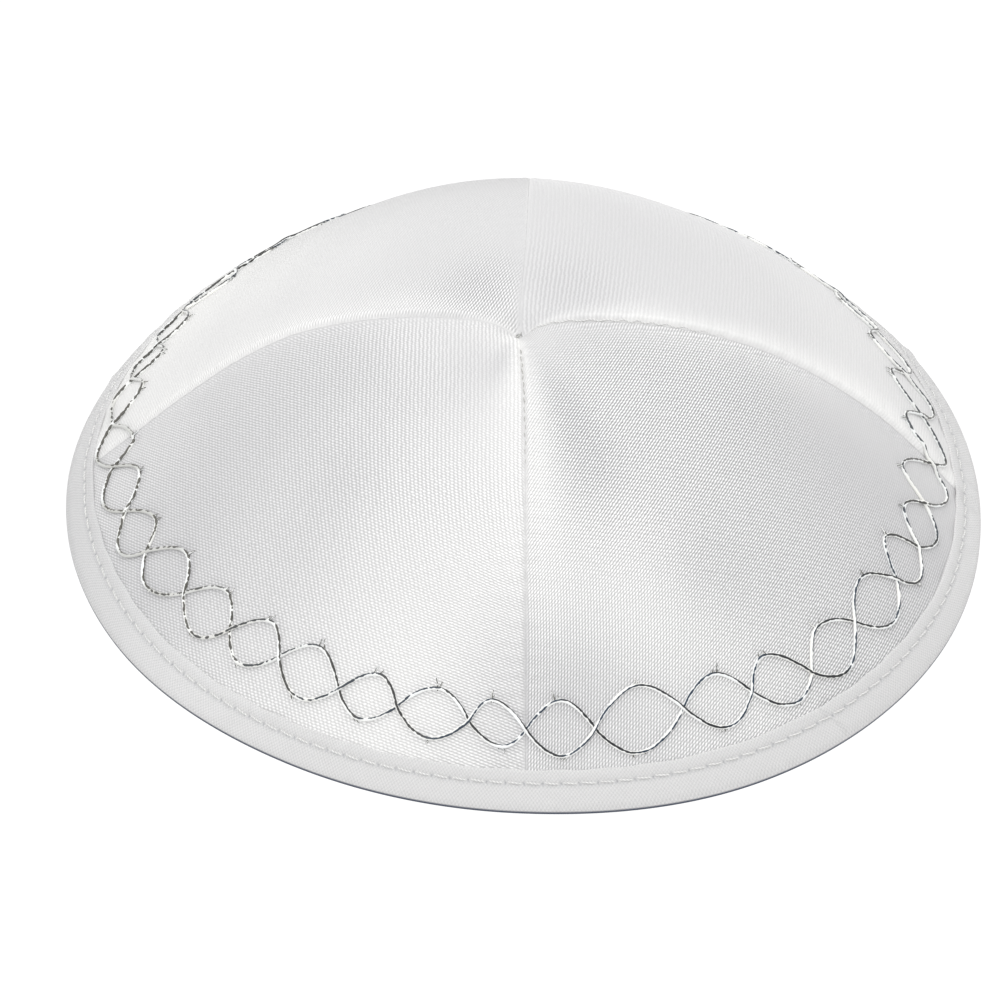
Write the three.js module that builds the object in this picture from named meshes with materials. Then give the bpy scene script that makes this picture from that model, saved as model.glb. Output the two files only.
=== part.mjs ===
// A four-panel satin kippah skullcap with a bound edge.
// All sizes are in millimetres and +Z is up. The front seam faces -Y, and the bound edge stands on z = 0.
// The cap is laid out round an upright axis through its crown, then moved so that its base is centred.
import * as THREE from 'three';

const panelWall = 1.0; // satin and its backing, sewn as one layer
const bindingWall = 1.0; // one leg of the folded cotton tape
const clearance = 0.3; // between any two pieces
const crownOpening = 1.0; // radius left open where the four panel tips meet
const footHeight = 1.0; // height of the widest point of the bound edge
const footEase = 1.2; // how far in the tape's rounded foot turns flat
const tapeFloor = 1.0; // thickness of tape under the wall's lower edge
const panelColumns = 12; // facets along one panel's width
const meanBindingHeight = 6.2;

// The rim, by azimuth in degrees from +X towards +Y: its outer radius, and the height and
// the inward reach of the visible leg of the tape.
const rimSections = [
  { azimuth: 0, radius: 83.0, height: 5.2, reach: 4.6 },
  { azimuth: 30, radius: 83.5, height: 6.2, reach: 4.6 },
  { azimuth: 60, radius: 84.0, height: 6.2, reach: 4.4 },
  { azimuth: 90, radius: 84.5, height: 6.6, reach: 4.2 },
  { azimuth: 120, radius: 83.5, height: 6.8, reach: 4.2 },
  { azimuth: 150, radius: 82.0, height: 6.8, reach: 4.4 },
  { azimuth: 180, radius: 82.0, height: 7.0, reach: 4.8 },
  { azimuth: 210, radius: 81.0, height: 5.6, reach: 5.4 },
  { azimuth: 240, radius: 79.0, height: 6.0, reach: 4.3 },
  { azimuth: 270, radius: 79.5, height: 6.2, reach: 4.6 },
  { azimuth: 300, radius: 82.5, height: 6.6, reach: 4.6 },
  { azimuth: 330, radius: 83.5, height: 6.4, reach: 4.6 },
];

// The wall along each seam, by share of the way from the crown axis to the tape:
// how far it stands above the top edge of the tape.
const wallSections = [
  { share: 0.0, right: 35.2, back: 35.2, left: 35.2, front: 35.2 },
  { share: 0.12, right: 37.0, back: 37.0, left: 37.0, front: 37.0 },
  { share: 0.3, right: 36.6, back: 36.6, left: 36.8, front: 36.7 },
  { share: 0.5, right: 32.6, back: 33.5, left: 33.0, front: 32.8 },
  { share: 0.65, right: 26.5, back: 26.5, left: 26.0, front: 26.2 },
  { share: 0.8, right: 17.6, back: 16.0, left: 15.6, front: 16.6 },
  { share: 0.9, right: 9.6, back: 8.4, left: 7.7, front: 8.7 },
  { share: 1.0, right: 0, back: 0, left: 0, front: 0 },
];

// The four seams run straight down from the crown at these azimuths.
const seamAzimuths = { right: 0, back: 89, left: 179, front: 271 };
const facetShares = [0.05, 0.12, 0.22, 0.34, 0.46, 0.57, 0.67, 0.76, 0.85, 0.93, 1.0];

const satin = new THREE.MeshStandardMaterial({ color: 0xf1efea, roughness: 0.38, metalness: 0 });
const cotton = new THREE.MeshStandardMaterial({ color: 0xe9e9ea, roughness: 0.9, metalness: 0 });

const radians = (degrees) => THREE.MathUtils.degToRad(degrees);

// The smooth curve through one column of a table: cubic pieces that share their slopes at the rows.
// With a period the table closes on itself.
function smoothValue(rows, key, column, at, period = 0) {
  let table = rows.map((row) => ({ at: row[key], value: row[column] }));
  let place = at;
  if (period > 0) {
    place = THREE.MathUtils.euclideanModulo(at - table[0].at, period) + table[0].at;
    const shifted = (row, by) => ({ at: row.at + by, value: row.value });
    const last = shifted(table.at(-1), -period);
    table = [last, ...table, shifted(table[0], period), shifted(table[1], period)];
  }
  const slope = (index) => {
    const before = table[Math.max(index - 1, 0)];
    const after = table[Math.min(index + 1, table.length - 1)];
    return (after.value - before.value) / (after.at - before.at);
  };
  let index = 0;
  while (index < table.length - 2 && table[index + 1].at <= place) index += 1;
  const from = table[index];
  const to = table[index + 1];
  const span = to.at - from.at;
  const t = (place - from.at) / span;
  const startSlope = slope(index) * span;
  const endSlope = slope(index + 1) * span;
  const rise = to.value - from.value;
  const quadratic = 3 * rise - 2 * startSlope - endSlope;
  const cubic = startSlope + endSlope - 2 * rise;
  return from.value + t * (startSlope + t * (quadratic + t * cubic));
}

// The bound edge in the upright plane at one azimuth: the top and the foot of the tape's outer
// face, the direction down that face, its outward normal, and how deep the wall goes into the fold.
function bindingFrame(azimuth) {
  const value = (column) => smoothValue(rimSections, 'azimuth', column, azimuth, 360);
  const radius = value('radius');
  const top = new THREE.Vector2(radius - value('reach'), value('height'));
  const foot = new THREE.Vector2(radius, footHeight);
  const down = foot.clone().sub(top).normalize();
  const out = new THREE.Vector2(-down.y, down.x);
  const innerFace = bindingWall + 2 * clearance + panelWall;
  const foldDepth = (top.y - innerFace * out.y - tapeFloor) / -down.y;
  return { radius, top, down, out, foldDepth };
}

// How far the wall stands above the tape at an azimuth: a blend of the two nearest seam columns.
function wallRise(azimuth, share) {
  const along = (column) => smoothValue(wallSections, 'share', column, share);
  const cosine = Math.cos(radians(azimuth));
  const sine = Math.sin(radians(azimuth));
  const sideways = along(cosine > 0 ? 'right' : 'left');
  const lengthways = along(sine > 0 ? 'back' : 'front');
  return sideways * cosine ** 2 + lengthways * sine ** 2;
}

// Where the wall's outer face goes under the top of the tape, in the upright plane at one azimuth.
function wallEdge(azimuth) {
  const { top, out } = bindingFrame(azimuth);
  return top.clone().addScaledVector(out, -(bindingWall + clearance));
}

// The wall's outer face in the upright plane at one azimuth, as radius and height.
function wallPoint(azimuth, share) {
  const edge = wallEdge(azimuth);
  const sunk = bindingFrame(azimuth).top.y - edge.y;
  const base = THREE.MathUtils.lerp(meanBindingHeight - sunk, edge.y, share ** 2);
  return new THREE.Vector2(edge.x * share, wallRise(azimuth, share) + base);
}

// The outer and inner points of one upright strip of wall, from the crown to inside the tape's fold.
function wallStrip(azimuth) {
  const step = 0.01;
  const shares = [crownOpening / wallEdge(azimuth).x, ...facetShares];
  const pairs = shares.map((share) => {
    const outer = wallPoint(azimuth, share);
    const slope = outer.clone().sub(wallPoint(azimuth, share - step)).normalize();
    return { outer, normal: new THREE.Vector2(-slope.y, slope.x) };
  });
  const { down, out, foldDepth } = bindingFrame(azimuth);
  const rim = pairs.at(-1);
  rim.normal = out;
  const hidden = foldDepth - clearance;
  pairs.push({ outer: rim.outer.clone().addScaledVector(down, hidden), normal: out });
  return pairs.map(({ outer, normal }) => ({
    outer,
    inner: outer.clone().addScaledVector(normal, -panelWall),
  }));
}

// Radius and height in the upright plane at an azimuth, as a point in space. A sideways shift
// moves it square to that plane, which keeps two pieces apart along their seam.
function placed(point, azimuth, sideways = 0) {
  const angle = radians(azimuth);
  return new THREE.Vector3(
    point.x * Math.cos(angle) - sideways * Math.sin(angle),
    point.x * Math.sin(angle) + sideways * Math.cos(angle),
    point.y,
  );
}

// A closed mesh from a lattice of points: each row is one loop round the solid's section. The
// rows join each other in turn, and the last joins the first when the solid is a ring.
function solidFromLoops(loops, isRing) {
  const size = loops[0].length;
  const positions = loops.flat().flatMap((point) => point.toArray());
  const indices = [];
  const joins = isRing ? loops.length : loops.length - 1;
  for (let row = 0; row < joins; row += 1) {
    for (let column = 0; column < size; column += 1) {
      const next = (column + 1) % size;
      const here = row * size;
      const there = ((row + 1) % loops.length) * size;
      indices.push(here + column, there + next, there + column);
      indices.push(here + column, here + next, there + next);
    }
  }
  const geometry = new THREE.BufferGeometry();
  geometry.setAttribute('position', new THREE.Float32BufferAttribute(positions, 3));
  geometry.setIndex(indices);
  return geometry;
}

// Closes the two open ends of a wall strip lattice, whose loops hold the outer points from the
// crown down and then the inner points back up.
function closeWallEnds(geometry, loopCount, loopSize) {
  const indices = Array.from(geometry.index.array);
  const half = loopSize / 2;
  const capOf = (start, turned) => {
    for (let level = 0; level < half - 1; level += 1) {
      const outer = start + level;
      const outerBelow = outer + 1;
      const inner = start + loopSize - 1 - level;
      const innerBelow = inner - 1;
      const faces = [[outer, outerBelow, innerBelow], [outer, innerBelow, inner]];
      for (const [a, b, c] of faces) indices.push(a, turned ? b : c, turned ? c : b);
    }
  };
  capOf(0, false);
  capOf((loopCount - 1) * loopSize, true);
  geometry.setIndex(indices);
  return geometry;
}

// One satin panel, from one seam round to the next.
function panelGeometry(fromAzimuth, toAzimuth) {
  const loops = [];
  for (let column = 0; column <= panelColumns; column += 1) {
    const azimuth = THREE.MathUtils.lerp(fromAzimuth, toAzimuth, column / panelColumns);
    const atSeam = column === 0 ? 1 : column === panelColumns ? -1 : 0;
    const shift = (atSeam * clearance) / 2;
    const strip = wallStrip(azimuth);
    const outer = strip.map((pair) => placed(pair.outer, azimuth, shift));
    const inner = strip.map((pair) => placed(pair.inner, azimuth, shift));
    loops.push([...outer, ...inner.reverse()]);
  }
  const geometry = solidFromLoops(loops, false);
  return closeWallEnds(geometry, loops.length, loops[0].length);
}

// The tape's section: the outer leg, the rounded foot with its flat underside, the inner leg, and
// the slot between the legs that the wall's edge stands in.
function bindingLoop(azimuth) {
  const { radius, top, down, out, foldDepth } = bindingFrame(azimuth);
  const at = (inward, along) => top.clone().addScaledVector(out, -inward).addScaledVector(down, along);
  const slotInner = bindingWall + 2 * clearance + panelWall;
  const innerFace = slotInner + bindingWall;
  const innerTop = at(innerFace, 0);
  const toInnerFoot = (innerTop.y - footHeight / 2) / -down.y;
  const innerFoot = at(innerFace, toInnerFoot);
  const section = [
    top,
    new THREE.Vector2(radius, footHeight),
    new THREE.Vector2(radius - footEase / 3, footHeight / 3),
    new THREE.Vector2(radius - footEase, 0),
    new THREE.Vector2(innerFoot.x + footHeight / 2, 0),
    innerFoot,
    innerTop,
    at(slotInner, 0),
    at(slotInner, foldDepth),
    at(bindingWall, foldDepth),
    at(bindingWall, 0),
  ];
  return section.map((point) => placed(point, azimuth));
}

function bindingGeometry(panelSpans) {
  const loops = panelSpans.flatMap(([from, to]) =>
    Array.from({ length: panelColumns }, (_, column) =>
      bindingLoop(THREE.MathUtils.lerp(from, to, column / panelColumns))));
  return solidFromLoops(loops, true);
}

function namedMesh(name, geometry, material) {
  const mesh = new THREE.Mesh(geometry, material);
  mesh.name = name;
  return mesh;
}

const fullTurn = 360;
const { right, back, left, front } = seamAzimuths;
const panelSpans = {
  panel_back_right: [right, back],
  panel_back_left: [back, left],
  panel_front_left: [left, front],
  panel_front_right: [front, right + fullTurn],
};

const cap = new THREE.Group();
for (const [name, [from, to]] of Object.entries(panelSpans)) {
  cap.add(namedMesh(name, panelGeometry(from, to), satin));
}
cap.add(namedMesh('binding', bindingGeometry(Object.values(panelSpans)), cotton));

const base = new THREE.Box3().setFromObject(cap);
const middle = base.getCenter(new THREE.Vector3());
cap.position.set(-middle.x, -middle.y, -base.min.z);

const kippah = new THREE.Group();
kippah.add(cap);

export default kippah;
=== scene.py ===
"""The looks of a four-panel satin kippah that stands on its bound edge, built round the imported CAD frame.

Tables and named sizes are in millimetres and degrees, and every mesh is in metres. A place on the cap is
given by its azimuth in degrees from +X towards +Y and its share of the way from the crown to the tape.
"""
import math

import bpy
import numpy as np
from mathutils import Matrix, Vector


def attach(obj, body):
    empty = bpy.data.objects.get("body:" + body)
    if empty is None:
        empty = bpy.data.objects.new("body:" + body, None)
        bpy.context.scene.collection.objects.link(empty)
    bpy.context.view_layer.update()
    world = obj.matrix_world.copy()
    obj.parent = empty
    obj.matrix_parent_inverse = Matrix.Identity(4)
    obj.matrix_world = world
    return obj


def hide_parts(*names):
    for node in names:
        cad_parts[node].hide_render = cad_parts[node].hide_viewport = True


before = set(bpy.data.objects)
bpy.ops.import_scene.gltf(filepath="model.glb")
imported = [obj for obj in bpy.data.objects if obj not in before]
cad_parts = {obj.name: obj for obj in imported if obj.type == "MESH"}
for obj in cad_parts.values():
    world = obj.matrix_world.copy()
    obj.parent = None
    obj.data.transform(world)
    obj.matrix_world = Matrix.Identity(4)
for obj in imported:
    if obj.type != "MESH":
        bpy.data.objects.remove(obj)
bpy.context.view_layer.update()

MM = 0.001
FULL_TURN = 360.0
PANELS = ("panel_back_right", "panel_back_left", "panel_front_left", "panel_front_right")

# ---------------------------------------------------------------- driving dimensions, in millimetres

CROWN = np.array([-0.5, -2.47, 0.0])  # the crown's axis, from the middle of the base
PANEL_WALL = 0.9  # the satin and its backing
TAPE_LEG = 0.8  # each leg of the folded tape
TAPE_PROUD = 0.42  # how far the tape's outer face stands off the satin
TUCK_SCALE = 76.0  # millimetres down the tape for a whole share
FOOT_HEIGHT = 1.0  # where the tape's sloping outer face ends
FOOT_EASE = 0.45  # how far in the folded foot touches the ground
MEAN_TAPE_HEIGHT = 6.2
CROWN_OPENING = 0.12  # radius of the hole where the four panels meet
CROWN_SHIFT = -0.75  # where the seams meet, across the cap from its axis
CROWN_DIMPLE = 2.1  # how deep the crown is drawn down
DIMPLE_WIDTH = 2.6

RIM_COLUMNS = ("azimuth", "radius", "height", "reach")
RIM = [
    (0, 83.0, 5.2, 4.6),
    (30, 83.5, 6.2, 4.6),
    (60, 84.0, 6.2, 4.4),
    (90, 84.5, 6.6, 4.2),
    (120, 83.5, 6.8, 4.2),
    (150, 82.0, 6.8, 4.4),
    (180, 82.0, 7.0, 4.8),
    (210, 81.0, 5.6, 5.4),
    (240, 79.0, 6.0, 4.3),
    (270, 79.5, 6.2, 4.6),
    (300, 82.5, 6.6, 4.6),
    (330, 83.5, 6.4, 4.6),
]

WALL_COLUMNS = ("share", "right", "back", "left", "front")
WALL = [
    (0.0, 35.2, 35.2, 35.2, 35.2),
    (0.12, 37.0, 37.0, 37.0, 37.0),
    (0.3, 36.6, 36.6, 36.8, 36.7),
    (0.5, 32.6, 33.5, 33.0, 32.8),
    (0.65, 26.5, 26.5, 26.0, 26.2),
    (0.8, 17.6, 16.0, 15.6, 16.6),
    (0.9, 9.6, 8.4, 7.7, 8.7),
    (1.0, 0.0, 0.0, 0.0, 0.0),
]

SEAMS = {"right": 0.0, "back": 89.0, "left": 179.0, "front": 271.0}
SPANS = {
    "panel_back_right": (SEAMS["right"], SEAMS["back"]),
    "panel_back_left": (SEAMS["back"], SEAMS["left"]),
    "panel_front_left": (SEAMS["left"], SEAMS["front"]),
    "panel_front_right": (SEAMS["front"], SEAMS["right"] + FULL_TURN),
}


# ---------------------------------------------------------------- curves and the cap's surface


def smooth(rows, columns, column, at, period=None):
    """The smooth curve through one column of a table, against its first column. With a period it closes."""
    xs = np.array([row[0] for row in rows], float)
    ys = np.array([row[columns.index(column)] for row in rows], float)
    at = np.asarray(at, float)
    if period:
        at = np.mod(at - xs[0], period) + xs[0]
        xs = np.concatenate([[xs[-1] - period], xs, xs[:2] + period])
        ys = np.concatenate([[ys[-1]], ys, ys[:2]])
    before = np.maximum(np.arange(len(xs)) - 1, 0)
    after = np.minimum(np.arange(len(xs)) + 1, len(xs) - 1)
    slope = (ys[after] - ys[before]) / (xs[after] - xs[before])
    i = np.clip(np.searchsorted(xs, at, side="right") - 1, 0, len(xs) - 2)
    span = xs[i + 1] - xs[i]
    t = (at - xs[i]) / span
    start, end, rise = slope[i] * span, slope[i + 1] * span, ys[i + 1] - ys[i]
    return ys[i] + t * (start + t * (3 * rise - 2 * start - end + t * (start + end - 2 * rise)))


def rim(column, azimuth):
    return smooth(RIM, RIM_COLUMNS, column, azimuth, FULL_TURN)


def tape_frame(azimuth):
    """In the upright plane at each azimuth: the rim's radius, the top of the tape's face, the way down it
    and its normal."""
    radius = rim("radius", azimuth)
    top = np.stack([radius - rim("reach", azimuth), rim("height", azimuth)], -1)
    foot = np.stack([radius, np.full_like(radius, FOOT_HEIGHT)], -1)
    down = foot - top
    down /= np.linalg.norm(down, axis=-1, keepdims=True)
    out = np.stack([-down[..., 1], down[..., 0]], -1)
    return radius, top, down, out


def wall_plane(azimuth, share):
    """Radius and height of the satin's smooth outer face. Past a share of 1 it is inside the tape."""
    _, top, down, out = tape_frame(azimuth)
    tucked = np.maximum(share - 1, 0) * TUCK_SCALE
    share = np.minimum(share, 1)
    edge = top - TAPE_PROUD * out
    cosine, sine = np.cos(np.radians(azimuth)), np.sin(np.radians(azimuth))
    column = {name: smooth(WALL, WALL_COLUMNS, name, share) for name in WALL_COLUMNS[1:]}
    sideways = np.where(cosine > 0, column["right"], column["left"])
    lengthways = np.where(sine > 0, column["back"], column["front"])
    sunk = top[..., 1] - edge[..., 1]
    base = (MEAN_TAPE_HEIGHT - sunk) * (1 - share**2) + edge[..., 1] * share**2
    radius = edge[..., 0] * share + tucked * down[..., 0]
    return radius, sideways * cosine**2 + lengthways * sine**2 + base + tucked * down[..., 1]


def in_space(radius, height, azimuth):
    """Metres in the frame, from millimetres round the crown's axis."""
    angle = np.radians(azimuth)
    return (np.stack([radius * np.cos(angle), radius * np.sin(angle), height], -1) + CROWN) * MM


def arc_lengths(azimuth, share):
    """How far each share is from the crown along the wall, on its profile at one azimuth."""
    radius, height = wall_plane(np.full_like(share, azimuth), share)
    return np.concatenate([[0], np.cumsum(np.hypot(np.diff(radius), np.diff(height)))])


SHARE_STEP = 0.004  # for the wall's slope
DENSE = np.linspace(0, 1, 401)
ARC = arc_lengths(225.0, DENSE)  # the middle of the front left panel stands for the rest


def arc_of(share):
    return np.interp(share, DENSE, ARC)


def share_above_tape(distance):
    """The share at a distance up the wall from the tape's top edge."""
    return np.interp(ARC[-1] - np.asarray(distance, float), ARC, DENSE)


def gauss(x, width):
    return np.exp(-((x / width) ** 2))


def turn_between(a, b):
    """Signed degrees from b to a, the short way round."""
    return np.mod(a - b + 180.0, FULL_TURN) - 180.0


# ---------------------------------------------------------------- relief of the satin, in millimetres

SEAM_RELIEF = {
    # groove, rolled edges, shoulder on the clockwise side, shoulder on the anticlockwise side, puckers
    "right": (0.35, 0.35, -0.5, 0.8, 0.10),
    "back": (0.06, 0.05, 0.0, 0.0, 0.05),
    "left": (0.22, 0.25, 0.8, -0.5, 0.06),
    "front": (0.45, 0.25, 0.1, 0.1, 0.16),
}
LEAST_RADIUS = 0.3  # distances round the crown's axis are measured no nearer to it than this
HELD_SMOOTH = 7.0  # how far above the tape it holds the satin smooth
SEAM_START = 2.0  # how far from the crown the seams' relief starts
SEAM_FADE_IN = 9.0
GROOVE_WIDTH = 0.35
ROLL_AWAY = 0.9  # from a seam to the top of its rolled edge
ROLL_WIDTH = 0.6
SHOULDER_WIDTH = 7.0
PUCKER_REACH = 3.2  # how far from a seam its puckers run out
GATHER = 0.10  # height of the small pulls above the tape
GATHER_REACH = 5.0
BACK_FULLNESS = 0.5


def ripple(s, seed):
    """A wavy unit signal along s in millimetres, with wandering pitch."""
    return np.sin(2 * np.pi * s / 3.1 + 1.7 * np.sin(s / 5.3 + seed) + 1.1 * np.sin(s / 2.9 + 2 * seed))


def relief(azimuth, share):
    """How far the real satin stands off the smooth form, along its normal."""
    radius, _ = wall_plane(azimuth, share)
    s = arc_of(np.clip(share, 0, 1))
    above = ARC[-1] - s
    held = 1 - np.exp(-((above / HELD_SMOOTH) ** 2))
    up = np.zeros_like(radius)
    for seed, (name, at) in enumerate(SEAMS.items()):
        groove, roll, clockwise, anticlockwise, pucker = SEAM_RELIEF[name]
        side = np.radians(turn_between(azimuth, at)) * np.maximum(radius, LEAST_RADIUS)
        away = np.abs(side)
        fade = np.clip((s - SEAM_START) / SEAM_FADE_IN, 0, 1)
        shoulder = np.where(side > 0, anticlockwise, clockwise)
        groove = groove * (1 - 0.6 * share)
        rolled = held * roll * gauss(away - ROLL_AWAY, ROLL_WIDTH)
        up += fade * (-groove * gauss(away, GROOVE_WIDTH) + rolled)
        up += fade * held * shoulder * np.exp(-away / SHOULDER_WIDTH) * np.clip(away / 1.6, 0, 1)
        pulled = pucker * (1 + 1.2 * np.exp(-s / 14.0))
        up += fade * pulled * ripple(s, seed + 1) * np.exp(-away / PUCKER_REACH) * np.clip(away / 0.5, 0, 1)
    # small pulls above the tape, where its stitches gather the satin
    gathers = np.sin(np.radians(azimuth) * 41 + 2 * np.sin(np.radians(azimuth) * 7)) * GATHER
    up += gathers * np.exp(-above / GATHER_REACH)
    # the crown is drawn down into a dimple
    up -= CROWN_DIMPLE * np.exp(-((radius / DIMPLE_WIDTH) ** 1.4))
    # the back stands a little fuller
    up += BACK_FULLNESS * gauss(turn_between(azimuth, 95.0), 60.0) * gauss(share - 0.55, 0.3)
    return up


def wall_point(azimuth, share, lift=0.0):
    """A point on the real satin, in metres, raised along the wall's normal by lift millimetres."""
    azimuth, share = np.broadcast_arrays(np.asarray(azimuth, float), np.asarray(share, float))
    r, z = wall_plane(azimuth, share)
    r1, z1 = wall_plane(azimuth, np.maximum(share - SHARE_STEP, 0))
    r2, z2 = wall_plane(azimuth, np.maximum(share - SHARE_STEP, 0) + 2 * SHARE_STEP)
    dr, dz = r2 - r1, z2 - z1
    length = np.hypot(dr, dz)
    up = relief(azimuth, share) + lift
    place = in_space(r - up * dz / length, z + up * dr / length, azimuth)
    place[..., 0] += CROWN_SHIFT * MM * gauss(r, 16.0)
    return place


# ---------------------------------------------------------------- mesh makers


def make_mesh(name, points, faces, uv=None, uv_name="weave", smooth_faces=True, round_v=None):
    """A piece from its points and faces. A tube's second uv coordinate starts again after each round_v."""
    mesh = bpy.data.meshes.new(name)
    mesh.from_pydata(np.asarray(points).reshape(-1, 3).tolist(), [], faces)
    if uv is not None:
        layer = mesh.uv_layers.new(name=uv_name)
        corner = np.zeros(len(mesh.loops), np.int32)
        mesh.loops.foreach_get("vertex_index", corner)
        at_corner = np.asarray(uv, np.float32).reshape(-1, 2)[corner]
        if round_v:
            first = np.zeros(len(mesh.polygons), np.int32)
            mesh.polygons.foreach_get("loop_start", first)
            highest = np.maximum.reduceat(at_corner[:, 1], first)
            size = np.diff(np.append(first, len(corner)))
            in_quad = np.repeat(size, size) == 4
            behind = (np.repeat(highest, size) - at_corner[:, 1] > round_v / 2) & in_quad
            at_corner[behind, 1] += round_v
        layer.data.foreach_set("uv", at_corner.ravel())
    mesh.polygons.foreach_set("use_smooth", [smooth_faces] * len(mesh.polygons))
    mesh.update()
    piece = bpy.data.objects.new(name, mesh)
    bpy.context.scene.collection.objects.link(piece)
    return piece


def add_attribute(piece, name, values):
    attribute = piece.data.attributes.new(name, "FLOAT", "POINT")
    attribute.data.foreach_set("value", values.astype(np.float32))


def grid_faces(rows, columns, first=0, wrap_rows=False, wrap_columns=False, flip=False):
    """Quads of a lattice whose point (row, column) is number first + row * columns + column."""
    r = np.arange(rows if wrap_rows else rows - 1)[:, None]
    c = np.arange(columns if wrap_columns else columns - 1)[None, :]
    r2, c2 = (r + 1) % rows, (c + 1) % columns
    quads = np.stack([r * columns + c, r * columns + c2, r2 * columns + c2, r2 * columns + c], -1) + first
    quads = quads.reshape(-1, 4)
    return (quads[:, ::-1] if flip else quads).tolist()


def tube(path, radius, sides=8, squash=1.0, twist_pitch=None, up=(0, 0, 1)):
    """Points, faces and (length, turn) coordinates of a closed tube along a path in metres. A quarter turn
    faces up. With a twist pitch its flattened section turns as it goes."""
    path = np.asarray(path, float)
    tangent = np.gradient(path, axis=0)
    tangent /= np.linalg.norm(tangent, axis=1, keepdims=True)
    side = np.cross(tangent, np.broadcast_to(np.asarray(up, float), path.shape))
    side /= np.linalg.norm(side, axis=1, keepdims=True)
    normal = np.cross(side, tangent)
    length = np.concatenate([[0], np.cumsum(np.linalg.norm(np.diff(path, axis=0), axis=1))])
    radius = np.broadcast_to(np.asarray(radius, float), len(path))
    turn = np.arange(sides) * 2 * np.pi / sides
    spin = 2 * np.pi * length / twist_pitch if twist_pitch else np.zeros(len(path))
    across = np.cos(turn)[None, :]
    through = np.sin(turn)[None, :] * squash
    x = across * np.cos(spin)[:, None] - through * np.sin(spin)[:, None]
    y = across * np.sin(spin)[:, None] + through * np.cos(spin)[:, None]
    outward = x[..., None] * side[:, None] + y[..., None] * normal[:, None]
    ring = path[:, None] + radius[:, None, None] * outward
    faces = grid_faces(len(path), sides, wrap_columns=True)
    faces.append(list(range(sides)))
    faces.append([(len(path) - 1) * sides + k for k in reversed(range(sides))])
    facing = (turn[None, :] + spin[:, None]) / (2 * np.pi)
    uv = np.stack(np.broadcast_arrays(length[:, None] / MM, facing), -1)
    return ring.reshape(-1, 3), faces, uv.reshape(-1, 2)


def join_parts(name, parts, uv_name="thread"):
    """One piece from several (points, faces, uv) parts."""
    points, faces, uvs, first = [], [], [], 0
    for part_points, part_faces, part_uv in parts:
        points.append(part_points)
        faces += [[first + k for k in face] for face in part_faces]
        uvs.append(part_uv)
        first += len(part_points)
    return make_mesh(name, np.concatenate(points), faces, np.concatenate(uvs), uv_name, round_v=1.0)


# ---------------------------------------------------------------- satin panels

PANEL_COLUMNS = 230
PANEL_ROWS = 160
GRAIN = {  # degrees that the weave's columns lean from the panel's middle line; it is cut on the bias
    "panel_back_right": 43.0,
    "panel_back_left": 47.0,
    "panel_front_left": 44.0,
    "panel_front_right": 49.0,
}
FLATTEN_TOP = 0.92  # how much of its angle a panel keeps near the crown when it is laid flat
FLATTEN_FOOT = 0.70  # and near the tape
HALF_SEAM_GAP = 0.006
TUCKED_TO = 1.03  # the share where the satin ends, inside the tape


def packed_to_edges(count, strength=0.6):
    """Values from 0 to 1 that lie closer together near both ends."""
    t = np.linspace(0, 1, count)
    return t - strength * np.sin(2 * np.pi * t) / (2 * np.pi)


def weave_coordinates(name, azimuth, share):
    """Millimetres across and along the weave: the panel laid flat along its middle line, row by row."""
    low, high = SPANS[name]
    angle = np.radians(azimuth - (low + high) / 2)
    kept = FLATTEN_TOP + (FLATTEN_FOOT - FLATTEN_TOP) * (0.5 + 0.5 * np.tanh((share - 0.75) / 0.12))
    bend = TUCK_SCALE * np.maximum(share, 0.001) / kept
    s = arc_of(np.clip(share, 0, 1)) + np.clip(share - 1, 0, 1) * TUCK_SCALE
    across, along = bend * np.sin(kept * angle), s - bend * (1 - np.cos(kept * angle))
    lean = math.radians(GRAIN[name])
    return np.stack([across * math.cos(lean) - along * math.sin(lean),
                     across * math.sin(lean) + along * math.cos(lean)], -1)


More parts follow.
